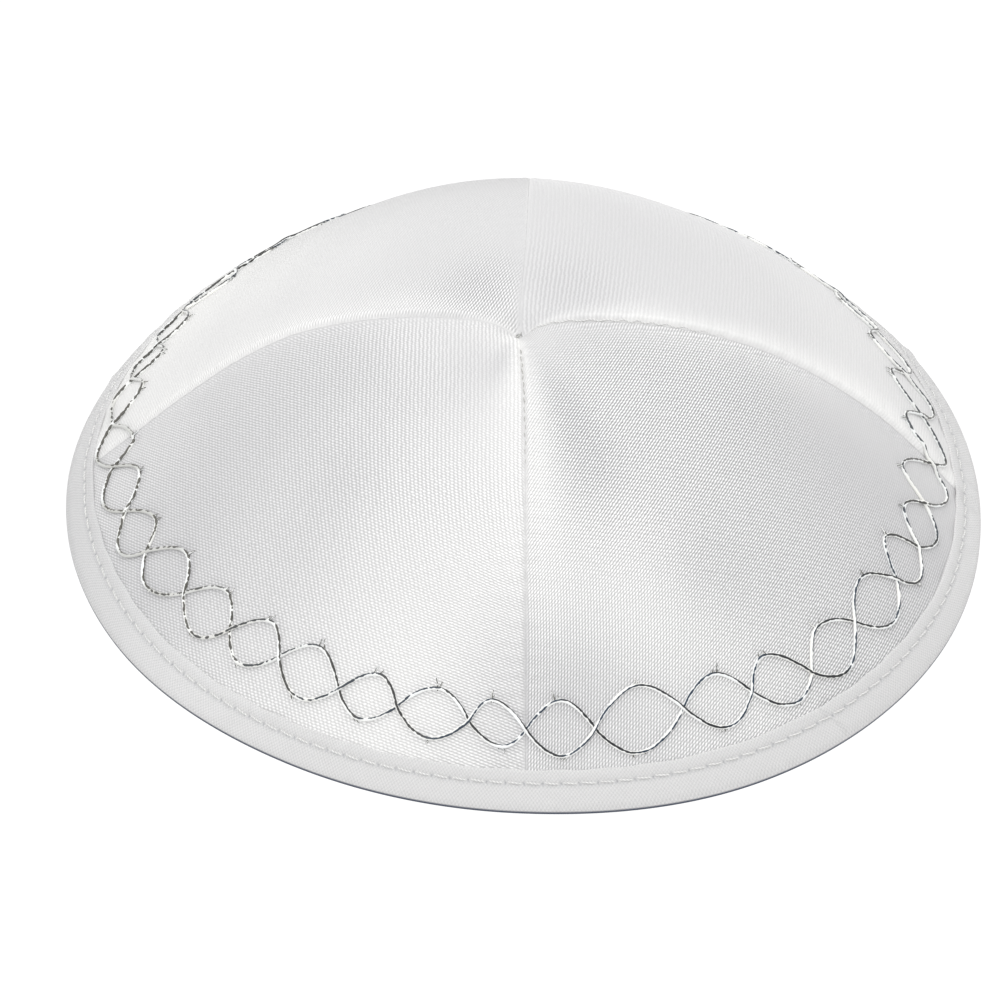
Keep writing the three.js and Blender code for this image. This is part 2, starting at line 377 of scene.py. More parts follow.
# The columns of a soft band: its azimuth, its half width in degrees, the shares where it starts and ends,
# and its strength in hundredths.
BAND_SOFTNESS = 0.07  # in shares, at a band's start and end
PAINTED_SHEEN_AND_SHADE = {  # how much lighter or darker than plain satin each panel is: painted sheen and painted shade, where the satin catches or loses the light
    "panel_front_left": [
        (268, 7, 0.08, 0.26, 3.0),
        (248, 22, 0.84, 1.30, 1.5),
        (254, 10, 0.08, 0.20, -5.0),
        (195, 22, 0.33, 1.30, -5.0),
        (208, 12, 0.34, 1.30, -1.5),
        (225, 12, 0.34, 0.66, -2.0),
        (210, 9, 0.80, 1.30, -1.5),
        (235, 22, 0.10, 0.34, -2.0),
        (262, 12, 0.25, 1.00, 2.5),
        (178, 3, 0.38, 0.85, 2.0),
        (255, 25, -0.20, 0.055, 9.0),
        (271, 7, -0.20, 0.72, 3.5),
        (268, 9, 0.81, 0.97, -5.0),
        (235, 60, -0.20, 0.07, 7.0),
        (264, 8, 0.08, 0.30, 2.5),
        (250, 20, 0.60, 1.30, 2.0),
        (228, 10, 0.55, 0.90, -3.0),
        (252, 14, 0.80, 1.30, 2.0),
        (186, 9, 0.78, 1.30, 2.5),
    ],
    "panel_front_right": [
        (278, 10, 0.80, 0.92, -3.0),
        (303, 12, 0.74, 0.86, -2.0),
        (330, 40, 0.06, 1.30, -3.5),
        (273, 8, -0.20, 0.76, 6.0),
        (289, 9, 0.22, 0.56, -6.0),
        (292, 12, 0.54, 0.84, 4.5),
        (278, 10, 0.84, 0.97, -3.5),
        (304, 8, 0.66, 0.84, -3.0),
        (303, 8, 0.80, 1.10, 3.0),
        (341, 16, 0.46, 1.30, -2.5),
        (290, 9, 0.70, 0.90, 1.5),
        (305, 22, 0.84, 1.30, 1.0),
        (357, 8, 0.58, 1.30, 2.0),
        (300, 60, -0.20, 0.07, 5.0),
        (359, 5, 0.10, 0.70, 2.0),
        (300, 10, 0.76, 0.90, 3.0),
        (272, 4, 0.10, 0.60, 1.0),
    ],
    "panel_back_right": [
        (0, 6, 0.18, 1.30, 7.0),
        (45, 60, 0.08, 0.22, -2.5),
        (7, 9, -0.20, 0.32, 4.0),
        (50, 45, 0.00, 0.50, -2.0),
        (15, 25, 0.68, 1.30, 3.0),
    ],
    "panel_back_left": [
        (165, 9, 0.07, 0.12, -3.0),
        (179, 9, 0.30, 1.30, 3.5),
        (179, 3, 0.38, 0.85, 2.0),
        (150, 30, 0.82, 1.30, 4.0),
        (152, 30, 0.42, 1.30, 3.5),
        (150, 20, 0.60, 1.30, 2.5),
        (172, 12, 0.12, 0.34, 3.5),
        (178, 50, -0.20, 0.07, 8.0),
        (150, 30, 0.62, 1.30, 2.0),
        (140, 25, 0.10, 0.20, -3.0),
        (120, 40, 0.06, 0.22, -3.5),
    ],
}
THREAD_SHADE_REACH = 1.8  # how far from a wavy thread the painted shade beside it reaches, in millimetres
PAINTED_THREAD_SHADE = -2.2  # hundredths of painted shade beside the wavy threads
SEAM_LIGHT_AND_SHADE = {"right": -3.0, "back": 3.0, "left": -1.0, "front": -1.6}  # hundredths of painted light (above 0) or painted shade (below 0) along each seam
SEAM_STRIPE_WIDTH = 0.4
CLARITY = {  # how clearly the floats show on each panel: the plain value in hundredths, then soft bands
    "panel_front_left": (100, [
        (255, 36, 0.66, 1.30, -20),
        (266, 8, 0.70, 1.30, 12),
        (228, 60, 0.10, 0.36, -30),
        (225, 90, -0.30, 0.24, -42),
        (258, 20, 0.20, 0.48, -35),
        (195, 25, 0.55, 1.30, -28),
        (179, 6, 0.15, 1.30, -35),
    ]),
    "panel_front_right": (100, [
        (281, 16, 0.66, 1.30, -24),
        (282, 14, 0.04, 0.28, -18),
        (300, 60, 0.12, 0.26, -10),
        (275, 6, 0.10, 0.50, -12),
        (350, 12, 0.34, 0.62, 22),
        (355, 14, 0.55, 1.30, 9),
        (315, 90, -0.30, 0.15, -80),
        (273, 8, 0.10, 0.62, -40),
        (357, 16, 0.15, 1.30, -50),
        (349, 22, 0.62, 1.30, -50),
        (300, 60, 0.50, 1.30, -10),
    ]),
    "panel_back_right": (16, [
        (45, 90, -0.30, 0.27, 55),
    ]),
    "panel_back_left": (15, [
        (130, 80, -0.30, 0.24, 70),
        (140, 60, 0.09, 0.16, 100),
        (135, 60, -0.30, 0.07, -18),
        (176, 6, -0.30, 0.20, -25),
        (165, 14, 0.20, 0.42, 35),
        (92, 8, -0.30, 0.35, -40),
        (178, 6, 0.30, 1.30, 30),
    ]),
}
LEAST_CLARITY = 0.08
LINES = {  # how strongly each line of floats shows: the plain value in hundredths, then soft bands
    "panel_front_left": {
        "columns": (100, [(265, 16, 0.62, 1.30, -65), (190, 24, 0.40, 1.30, -60)]),
        "rising": (50, [(225, 90, -0.30, 0.33, -38), (190, 24, 0.40, 1.30, -25)]),
        "falling": (100, [(225, 90, -0.30, 0.33, -75), (265, 16, 0.62, 1.30, 50)]),
    },
    "panel_front_right": {
        "columns": (45, [(278, 20, 0.74, 1.30, -20)]),
        "rising": (25, [(278, 24, 0.70, 1.30, 80)]),
        "falling": (140, [(276, 22, 0.74, 1.30, -55)]),
    },
    "panel_back_right": {
        "columns": (100, []),
        "rising": (8, []),
        "falling": (8, []),
    },
    "panel_back_left": {
        "columns": (10, []),
        "rising": (40, []),
        "falling": (100, []),
    },
}


def soft_bands(rows, azimuth, share):
    """The sum of a table's soft bands, from hundredths to a part of one."""
    total = np.zeros_like(azimuth)
    for at, half_width, start, end, strength in rows:
        entered = 0.5 + 0.5 * np.tanh((share - start) / BAND_SOFTNESS)
        left = 0.5 - 0.5 * np.tanh((share - end) / BAND_SOFTNESS)
        total += strength / 100 * gauss(azimuth - at, half_width) * entered * left
    return total


def seam_distance(name, azimuth, radius):
    """Millimetres from a point of a panel to its nearer seam."""
    low, high = SPANS[name]
    return np.radians(np.minimum(azimuth - low, high - azimuth)) * np.maximum(radius, LEAST_RADIUS)


def weave_strength(name, azimuth, share, radius):
    """How clearly the floats show: as the panel's table says, and hardly at all along a seam."""
    plain, rows = CLARITY[name]
    strength = np.maximum(plain / 100 + soft_bands(rows, azimuth, share), LEAST_CLARITY)
    return strength * (1 - 0.9 * gauss(seam_distance(name, azimuth, radius), SEAM_STRIPE_WIDTH))


def near_threads(azimuth, share):
    """1 under the wavy threads, fading out over the satin on both sides, where painted shade lies beside
    them.
    """
    above = ARC[-1] - arc_of(np.clip(share, 0, 1))
    near = np.zeros_like(above)
    for starts_up in (True, False):
        at, height, _, _ = thread_path(starts_up)
        line = np.interp(azimuth, at, height, period=FULL_TURN)
        near = np.maximum(near, gauss(above - line, THREAD_SHADE_REACH))
    return near


def painted_seam_lines(azimuth, share, radius):
    """The thin line of painted light or painted shade along each seam."""
    stripe = np.zeros_like(radius)
    for seam, at in SEAMS.items():
        away = np.radians(turn_between(azimuth, at)) * np.maximum(radius, LEAST_RADIUS)
        stripe += SEAM_LIGHT_AND_SHADE[seam] / 100 * gauss(away, SEAM_STRIPE_WIDTH) * np.clip(share * 4 - 0.5, 0, 1)
    return stripe


def satin_panel(name, material):
    low, high = SPANS[name]
    turn = low + (high - low) * packed_to_edges(PANEL_COLUMNS)
    turn, t = np.meshgrid(turn, np.linspace(0, 1, PANEL_ROWS))
    opening = CROWN_OPENING / TUCK_SCALE
    share = opening + (TUCKED_TO - opening) * t
    radius, _ = wall_plane(turn, share)
    half_gap = np.degrees(HALF_SEAM_GAP / np.maximum(radius, LEAST_RADIUS))
    azimuth = np.clip(turn, low + half_gap, high - half_gap)
    outer = wall_point(azimuth, share)
    inner = wall_point(azimuth, share, -PANEL_WALL)
    uv = weave_coordinates(name, azimuth, share)
    count = outer.shape[0] * outer.shape[1]
    rows, columns = azimuth.shape
    faces = grid_faces(rows, columns, flip=True) + grid_faces(rows, columns, first=count)
    edge = [r * columns for r in range(rows)]
    edge += [(rows - 1) * columns + c for c in range(1, columns)]
    edge += [r * columns + columns - 1 for r in range(rows - 2, -1, -1)]
    edge += list(range(columns - 2, 0, -1))
    for a, b in zip(edge, edge[1:] + edge[:1]):
        faces.append([a, b, b + count, a + count])
    points = np.concatenate([outer.reshape(-1, 3), inner.reshape(-1, 3)])
    piece = make_mesh(name + "_satin", points, faces, np.concatenate([uv.reshape(-1, 2)] * 2))
    # painted sheen and shade of the satin, with painted light and shade along the seams and painted shade
    # beside the wavy threads
    painted_sheen_and_shade = soft_bands(PAINTED_SHEEN_AND_SHADE[name], azimuth, share) + painted_seam_lines(azimuth, share, radius)
    painted_sheen_and_shade += PAINTED_THREAD_SHADE / 100 * near_threads(azimuth, share)
    add_attribute(piece, "painted_sheen_and_shade", np.tile(painted_sheen_and_shade.ravel(), 2))
    add_attribute(piece, "clarity", np.tile(weave_strength(name, azimuth, share, radius).ravel(), 2))
    shows = {}
    for line, (plain, bands) in LINES[name].items():
        shows[line] = plain / 100 + soft_bands(bands, azimuth, share)
    for line, show in shows.items():
        add_attribute(piece, line, np.tile((show / sum(shows.values())).ravel(), 2))
    piece.data.materials.append(material)
    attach(piece, "root")
    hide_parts(name)


# ---------------------------------------------------------------- bias binding

TAPE_SEGMENTS = 1800
STITCH_PITCH = 3.3
STITCH_DOWN = 2.3  # from the tape's top edge to its topstitch
TAPE_END = 311.0  # azimuth of the folded end that overlaps the tape's start
STITCH_PULL = 0.13  # how deep the topstitch draws the tape in
HOLE_DEPTH = 0.14
STITCH_VALLEY = 0.5  # half width of the valley that the topstitch draws
FOLD_HEIGHT = 0.30
END_STEP = 0.42
KNOT_HEIGHT = 0.35
INNER_LIFT = 0.25  # how far the inner leg stays off the ground
TAPE_UV_RADIUS = 81.0
INNER_FROM = 15.0  # the inner leg's distances count back from here, past those of the outer face


def stitch_azimuths():
    """The azimuth of each stitch's start, evenly spaced round the rim, and how many there are."""
    turn = np.linspace(0, FULL_TURN, 721)
    x, y, _ = np.moveaxis(in_space(rim("radius", turn), turn * 0, turn), -1, 0)
    length = np.concatenate([[0], np.cumsum(np.hypot(np.diff(x), np.diff(y)))]) / MM
    count = round(length[-1] / STITCH_PITCH)
    return np.interp(np.arange(count) * length[-1] / count, length, turn), count


def needle_holes(azimuth, sharpness):
    """1 at each needle hole of the topstitch, fading out between them."""
    starts, count = stitch_azimuths()
    phase = np.interp(np.mod(azimuth, FULL_TURN), np.append(starts, FULL_TURN), np.arange(count + 1))
    return np.cos(np.pi * phase) ** sharpness


def tape_knot(azimuth, along):
    """Where the right seam's allowance lumps up under the top of the tape."""
    return gauss(turn_between(azimuth, SEAMS["right"] - 1.0), 1.1) * gauss(along - 0.4, 1.3)


def tape_relief(azimuth, along):
    """How far the tape's outer face stands off its plain form, by millimetres down from its top edge."""
    hole = needle_holes(azimuth, 16)
    valley = gauss(along - STITCH_DOWN, STITCH_VALLEY)
    up = -STITCH_PULL * valley - HOLE_DEPTH * hole * valley
    up += 0.06 * gauss(along - 0.9, 0.8) + 0.08 * gauss(along - 4.6, 1.6)
    turn = np.radians(azimuth)
    up += 0.05 * np.sin(61 * turn + 3 * np.sin(5 * turn)) * gauss(along - 4.5, 2.0)
    sides = gauss(turn_between(azimuth, 22.0), 40.0) + gauss(turn_between(azimuth, 150.0), 40.0)
    folds = np.sin(39 * turn + 1.5 * np.sin(17 * turn)) + 0.6 * np.sin(67 * turn + 2 * np.sin(11 * turn))
    up += FOLD_HEIGHT * sides * folds * gauss(along - 5.0, 3.0)
    up += KNOT_HEIGHT * tape_knot(azimuth, along)
    past = turn_between(azimuth, TAPE_END + 0.35 * along)
    up += END_STEP * np.clip(past / 0.35, 0, 1) * np.exp(-np.clip(past, 0, None) / 7.0)
    return up


def tape_shade(azimuth, along):
    """How dark the tape is, from 0 to 1: painted shade in the needle holes and just below the topstitch, a
    painted contact shadow along the foot, painted shade over the cap's left side, and a little darker over
    the knot.
    """
    hole = needle_holes(azimuth, 40) * gauss(along - STITCH_DOWN - 0.1, 0.3) * 0.45
    under = 0.10 * gauss(along - STITCH_DOWN - 0.35, 0.35)
    # painted contact shadow along the folded foot
    foot = 0.95 * np.clip((along - 6.62) / 0.3, 0, 1) * np.clip((8.75 - along) / 0.5, 0, 1)
    # painted shade over the cap's left side
    painted_left_shade = 0.085 * gauss(turn_between(azimuth, 192.0), 30.0)
    return np.maximum(hole, under) + foot + painted_left_shade + 0.05 * tape_knot(azimuth, along)


def tape_section():
    """The outer leg's section as (inward, along), from inside its folded top down its face."""
    lip = [(0.62, 1.4), (0.62, 0.7), (0.58, 0.3), (0.44, 0.06), (0.28, -0.02), (0.13, 0.03), (0.03, 0.15)]
    face = [(0.0, a) for a in (0.5, 0.9, 1.3, 1.7, 2.05, 2.3, 2.55, 2.9, 3.3, 3.8, 4.4, 5.0, 5.6)]
    return lip + face


def binding(material):
    turn = np.linspace(0, FULL_TURN, TAPE_SEGMENTS, endpoint=False)
    radius, top, down, out = tape_frame(turn)
    wave = 0.10 * np.sin(np.radians(turn) * 47 + 2 * np.sin(np.radians(turn) * 9))
    rows = []
    distance = []
    for inward, along in tape_section():
        up = tape_relief(turn, np.full_like(turn, along)) * (1 if inward < 0.5 else 0.6)
        rows.append(top - (inward - up)[:, None] * out + (along + wave * gauss(along, 1.5))[:, None] * down)
        distance.append(along)
    foot = [
        (0.0, FOOT_HEIGHT),
        (0.0, 0.62),
        (FOOT_EASE * 0.2, 0.3),
        (FOOT_EASE * 0.5, 0.08),
        (FOOT_EASE, 0.0),
    ]
    for k, (back, height) in enumerate(foot):
        rows.append(np.stack([radius - back, np.full_like(radius, height)], -1))
        distance.append(6.6 + 0.5 * k)
    thick = 2 * TAPE_LEG + PANEL_WALL
    inner_top = top - thick * out
    for k, along in enumerate((6.0, 5.0, 3.5, 2.0, 0.8, 0.1)):
        point = inner_top + along * down
        point[:, 1] = np.maximum(point[:, 1], 0.0 if k == 0 else INNER_LIFT)
        rows.append(point)
        distance.append(INNER_FROM - along)
    rows.append(inner_top + TAPE_LEG * out + 0.1 * down)
    distance.append(INNER_FROM + 1.0)
    rows.append(inner_top + TAPE_LEG * out + 1.4 * down)
    distance.append(INNER_FROM + 2.0)
    loops = np.stack(rows, 1)
    points = in_space(loops[..., 0], loops[..., 1], turn[:, None])
    around = np.radians(turn)[:, None] * TAPE_UV_RADIUS
    uv = np.stack(np.broadcast_arrays(around, np.array(distance)[None, :]), -1)
    faces = grid_faces(TAPE_SEGMENTS, len(rows), wrap_rows=True, wrap_columns=True)
    piece = make_mesh("binding_tape", points, faces, uv)
    shade = np.broadcast_to(tape_shade(turn[:, None], np.array(distance)[None, :]), points.shape[:2])
    add_attribute(piece, "shade", shade.ravel())
    piece.data.materials.append(material)
    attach(piece, "root")
    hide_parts("binding")


CROWN_STITCH = 0.9  # half the length of the stitch that closes the crown
STITCH_AZIMUTH = 60.0  # the way that stitch lies
BUNCH_REACH = 1.6  # radius of the bunched seam ends
BUNCH_DEPTH = 1.95


def crown_tack(bunch_material, stitch_material):
    """The bunched seam ends under the crown, which close it from inside, and one stitch over them."""
    edge = wall_point(STITCH_AZIMUTH, CROWN_OPENING / TUCK_SCALE)[2] / MM
    turn = np.linspace(0, FULL_TURN, 48, endpoint=False)
    rings = []
    for reach in (0.05, 0.25, 0.5, 0.8, 1.1, 1.4, BUNCH_REACH):
        crumple = 0.12 * np.sin(np.radians(turn) * 7 + 3 * reach) * reach
        rings.append(in_space(np.full_like(turn, reach), edge + 0.10 - 0.8 * reach**2 + crumple, turn))
    for reach in (BUNCH_REACH, 1.1, 0.5, 0.05):
        under = np.full_like(turn, edge - BUNCH_DEPTH - 0.2 * (BUNCH_REACH - reach))
        rings.append(in_space(np.full_like(turn, reach), under, turn))
    points = np.stack(rings, 0)
    points[..., 0] += CROWN_SHIFT * MM
    rows, columns = points.shape[:2]
    faces = grid_faces(rows, columns, wrap_columns=True)
    faces.append(list(range(columns))[::-1])
    faces.append([(rows - 1) * columns + k for k in range(columns)])
    uv = np.stack(np.broadcast_arrays(np.arange(rows)[:, None] * 0.3, turn[None, :] / 30), -1)
    bunch = make_mesh("crown_bunch", points.reshape(-1, 3), faces, uv.reshape(-1, 2), "thread")
    bunch.data.materials.append(bunch_material)
    reach = np.linspace(-1, 1, 13)
    away = np.abs(reach) * CROWN_STITCH
    height = edge + 0.18 + 2.0 * (1 - np.exp(-((away / DIMPLE_WIDTH) ** 1.4))) - 0.30 * reach**2
    path = in_space(reach * CROWN_STITCH, height, np.full_like(reach, STITCH_AZIMUTH))
    path[:, 0] += CROWN_SHIFT * MM
    stitch = join_parts("crown_stitch", [tube(path, 0.14 * MM * (1.05 - 0.7 * reach**2), sides=8)])
    stitch.data.materials.append(stitch_material)
    for piece in (bunch, stitch):
        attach(piece, "root")


def seam_edge(name, seam, shares, offset, thickness, bob, material):
    """A fine raised edge or line of stitching that runs down a seam and sinks into the satin."""
    t = np.linspace(0, 1, 220)
    share = shares[0] + (shares[1] - shares[0]) * t
    radius, _ = wall_plane(np.full_like(share, SEAMS[seam]), share)
    s = arc_of(share)
    sideways = offset + 0.10 * np.sin(2 * np.pi * s / 2.7 + 1.3 * np.sin(s / 3.1))
    lift = bob * np.sin(2 * np.pi * s / 1.9 + np.sin(s / 2.3)) - 0.5 * thickness * t**2
    path = wall_point(SEAMS[seam] + np.degrees(sideways / radius), share, lift)
    taper = np.clip(t / 0.06, 0.25, 1) * (1 - 0.6 * t**2)
    piece = join_parts(name, [tube(path, thickness * MM * taper, sides=8)])
    piece.data.materials.append(material)
    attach(piece, "root")


def topstitch(material):
    starts, _ = stitch_azimuths()
    ends = np.append(starts[1:], FULL_TURN)
    t = np.linspace(0, 1, 9)
    parts = []
    for low, high in zip(starts, ends):
        turn = low + (high - low) * (0.10 + 0.80 * t)
        _, top, down, out = tape_frame(turn)
        along = STITCH_DOWN + 0.10 * np.sin(np.pi * (t - 0.5))
        lift = tape_relief(turn, along) + 0.13 - 0.36 * np.abs(2 * t - 1) ** 4
        plane = top + lift[:, None] * out + along[:, None] * down
        path = in_space(plane[:, 0], plane[:, 1], turn)
        parts.append(tube(path, 0.18 * MM * (1 - 0.25 * np.abs(2 * t - 1) ** 3), sides=8))
    piece = join_parts("topstitch", parts)
    piece.data.materials.append(material)
    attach(piece, "root")


# ---------------------------------------------------------------- silver embroidery

LENSES = [
    # azimuth and height above the tape of a crossing, then of the upper peak, then of the lower peak
    (147.0, 4.0, 152.0, 11.0, 152.0, 2.5),
    (157.0, 7.0, 160.5, 11.0, 160.0, 3.0),
    (164.0, 5.0, 168.2, 10.2, 167.0, 1.8),
    (174.0, 4.5, 180.0, 10.8, 178.5, 1.0),
    (183.0, 5.5, 187.8, 11.8, 188.5, 2.2),
    (193.0, 7.0, 198.8, 12.0, 198.0, 2.4),
    (202.0, 7.2, 208.2, 13.6, 206.5, 3.7),
    (213.0, 8.6, 219.4, 14.0, 218.5, 4.2),
    (223.5, 8.9, 229.4, 13.9, 227.5, 4.8),
    (233.0, 9.2, 238.6, 13.6, 238.0, 4.2),
    (243.5, 8.0, 249.0, 12.4, 247.6, 4.3),
    (252.5, 8.0, 258.2, 12.2, 257.5, 3.7),
    (263.0, 7.5, 266.2, 11.3, 267.6, 3.7),
    (271.0, 6.6, 276.0, 11.5, 275.8, 2.3),
    (280.5, 6.7, 287.0, 13.0, 286.0, 2.0),
    (293.0, 7.9, 298.4, 12.0, 298.4, 3.0),
    (303.0, 7.1, 306.8, 11.7, 308.2, 2.4),
    (312.5, 5.4, 316.2, 11.2, 318.0, 2.5),
    (322.5, 8.2, 328.0, 12.6, 328.4, 3.2),
    (333.5, 7.4, 337.0, 13.4, 337.4, 3.8),
    (341.5, 6.9, 345.2, 12.3, 346.4, 3.6),
    (350.0, 7.9, 353.0, 14.4, 356.2, 2.5),
    (359.5, 7.0, 364.6, 13.4, 363.6, 2.3),
    (369.0, 7.6, 374.8, 13.3, 374.2, 1.6),
    (378.0, 8.1, 383.4, 13.0, 382.6, 2.5),
]
BACK_LENSES = 12  # between the last row and the first, where the back is regular
BACK_HEIGHTS = (7.5, 12.5, 3.0)  # of a crossing, an upper peak and a lower peak there
LENS_SAMPLES = 26
THREAD_RADIUS = 0.325
THREAD_SIDES = 12
THREAD_LIFT = 0.24  # of a thread's middle line off the satin
CROSSING_LIFT = 0.30  # more, where one thread goes over the other
DARK_SIDE = (0.4, -0.15, 0.9)  # the way the painted dark reflection along the threads faces
TUFTS = 2  # loose ends at each peak
TUFT_RADIUS = 0.17


def lens_rows():
    last, first = LENSES[-1][0], LENSES[0][0] + FULL_TURN
    step = (first - last) / (BACK_LENSES + 1)
    crossing, upper, lower = BACK_HEIGHTS
    places = [last + step * k for k in range(1, BACK_LENSES + 1)]
    return LENSES + [(at, crossing, at + step / 2, upper, at + step / 2, lower) for at in places]


def lenses():
    """Each lens as its row and the crossing that closes it."""
    rows = lens_rows()
    following = rows[1:] + [(rows[0][0] + FULL_TURN, *rows[0][1:])]
    return list(zip(rows, following))


def thread_path(starts_up):
    """One of the two wavy threads: its azimuth, height above the tape, lift off the satin, and falling,
    which is 1 where it runs down and 0 where it runs up."""
    azimuth, height, lift, falling = [], [], [], []
    t = np.linspace(0, 1, LENS_SAMPLES, endpoint=False)
    for k, (row, after) in enumerate(lenses()):
        peak_azimuth, peak_height = row[2:4] if (k % 2 == 0) == starts_up else row[4:6]
        azimuth.append(np.interp(t, (0, 0.5, 1), (row[0], peak_azimuth, after[0])))
        middle = row[1] + (after[1] - row[1]) * t
        reach = peak_height - (row[1] + after[1]) / 2
        height.append(middle + reach * np.sin(np.pi * t) ** 0.92)
        over = CROSSING_LIFT if starts_up else 0.0
        near = gauss(t, 0.09) + gauss(t - 1, 0.09)
        lift.append(THREAD_LIFT + over * near)
        past_peak = np.clip((t - 0.42) / 0.16, 0, 1)
        falling.append(past_peak if reach > 0 else 1 - past_peak)
    return [np.concatenate(part) for part in (azimuth, height, lift, falling)]


def side_breakup_along(azimuth):
    """How much the threads' painted dark line breaks up and greys: most on the cap's left, and half as much
    on its right.
    """
    return gauss(turn_between(azimuth, 190.0), 55.0) + 0.5 * gauss(turn_between(azimuth, 12.0), 45.0)


def embroidery(material):
    parts, downhill, side_breakup = [], [], []
    for starts_up in (True, False):
        azimuth, height, lift, falling = thread_path(starts_up)
        path = wall_point(azimuth, share_above_tape(height), lift)
        parts.append(tube(path, THREAD_RADIUS * MM, sides=THREAD_SIDES, up=DARK_SIDE))
        downhill.append(np.repeat(falling, THREAD_SIDES))
        side_breakup.append(np.repeat(side_breakup_along(azimuth), THREAD_SIDES))
    piece = join_parts("embroidery_threads", parts)
    add_attribute(piece, "falling", np.concatenate(downhill))
    add_attribute(piece, "side_breakup", np.concatenate(side_breakup))
    piece.data.materials.append(material)
    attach(piece, "root")


def couching(material):
    """The short loose ends of the stitches that hold the wavy threads, at each peak."""
    rng = np.random.default_rng(7)
    parts = []
    for row in lens_rows():
        for peak_azimuth, peak_height, way in ((*row[2:4], 1), (*row[4:6], -1)):
            for _ in range(TUFTS):
                start = peak_azimuth + rng.uniform(-0.9, 0.9)
                lean = rng.uniform(-0.45, 0.45)
                reach = rng.uniform(0.7, 1.7) if way > 0 else rng.uniform(0.4, 1.0)
                t = np.linspace(-0.25, 1, 7)
                height = peak_height + way * reach * t
                curl = 0.25 * np.sin(5 * t + start)
                lift = 0.30 - 0.30 * np.clip(t, 0, 1) ** 2
                path = wall_point(start + (lean * reach + curl * 0.5) * t, share_above_tape(height), lift)
                radius = TUFT_RADIUS * MM * (1.2 - 0.6 * t)
                parts.append(tube(path, radius, sides=6, twist_pitch=1.5 * MM, squash=0.7))
    piece = join_parts("embroidery_couching", parts)
    for name in ("falling", "side_breakup"):
        add_attribute(piece, name, np.ones(len(piece.data.vertices)))
    piece.data.materials.append(material)
    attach(piece, "root")


# ---------------------------------------------------------------- materials


class Nodes:
    """A short way to build a material's node tree."""

    def __init__(self, name):
        self.material = bpy.data.materials.new(name)
        self.material.use_nodes = True
        self.tree = self.material.node_tree
        self.shader = self.tree.nodes["Principled BSDF"]

    def node(self, kind, inputs=(), **settings):
        node = self.tree.nodes.new(kind)
        for key, value in settings.items():
            setattr(node, key, value)
        for key, value in dict(inputs).items():
            self.link(value, node.inputs[key])
        return node

    def link(self, value, socket):
        if isinstance(value, bpy.types.NodeSocket):
            self.tree.links.new(value, socket)
        else:
            socket.default_value = value

    def maths(self, operation, a, b=0.0, c=0.0):
        return self.node("ShaderNodeMath", {0: a, 1: b, 2: c}, operation=operation).outputs[0]

    def ramp(self, value, low, high):
        """0 at low and 1 at high, clamped."""
        return self.node("ShaderNodeMapRange", {0: value, 1: low, 2: high}).outputs[0]

    def attribute(self, name):
        return self.node("ShaderNodeAttribute", attribute_name=name).outputs["Fac"]

    def wave(self, u, v, across, along, phase=0.0):
        """cos of 2 pi (across * u + along * v) + phase."""
        turned = self.maths("MULTIPLY_ADD", v, 2 * math.pi * along, phase)
        turned = self.maths("MULTIPLY_ADD", u, 2 * math.pi * across, turned)
        return self.maths("COSINE", turned)

    def mix(self, factor, a, b):
        """Colour a where the factor is 0 and b where it is 1. The node's colour sockets are 6, 7 and 2."""
        made = self.node("ShaderNodeMix", data_type="RGBA")
        self.link(factor, made.inputs[0])
        self.link(a, made.inputs[6])
        self.link(b, made.inputs[7])
        return made.outputs[2]

    def set(self, **values):
        for key, value in values.items():
            self.link(value, self.shader.inputs[key.replace("_", " ")])

    def bump(self, height, distance):
        made = self.node("ShaderNodeBump", {"Height": height, "Distance": distance, "Strength": 0.5})
        self.link(made.outputs[0], self.shader.inputs["Normal"])


def uv_of(nodes, name):
    made = nodes.node("ShaderNodeUVMap", uv_map=name)
    split = nodes.node("ShaderNodeSeparateXYZ", {0: made.outputs[0]})
    return split.outputs[0], split.outputs[1]


COLUMN_PITCH = 0.704  # of the satin's floats, in millimetres
STAGGER = 0.25  # of a column pitch from one row of floats to the next
WEAVE_LOOK = {  # rows of floats per millimetre, and how strongly the floats stand out
    "panel_back_right": (1.70, 0.19),
    "panel_back_left": (1.80, 0.50),
    "panel_front_left": (1.70, 0.44),
    "panel_front_right": (1.92, 0.78),
}
SATIN_ALBEDO = 0.70
FABRIC_BUMP = 0.00006  # metres
THREAD_BUMP = 0.00004  # metres


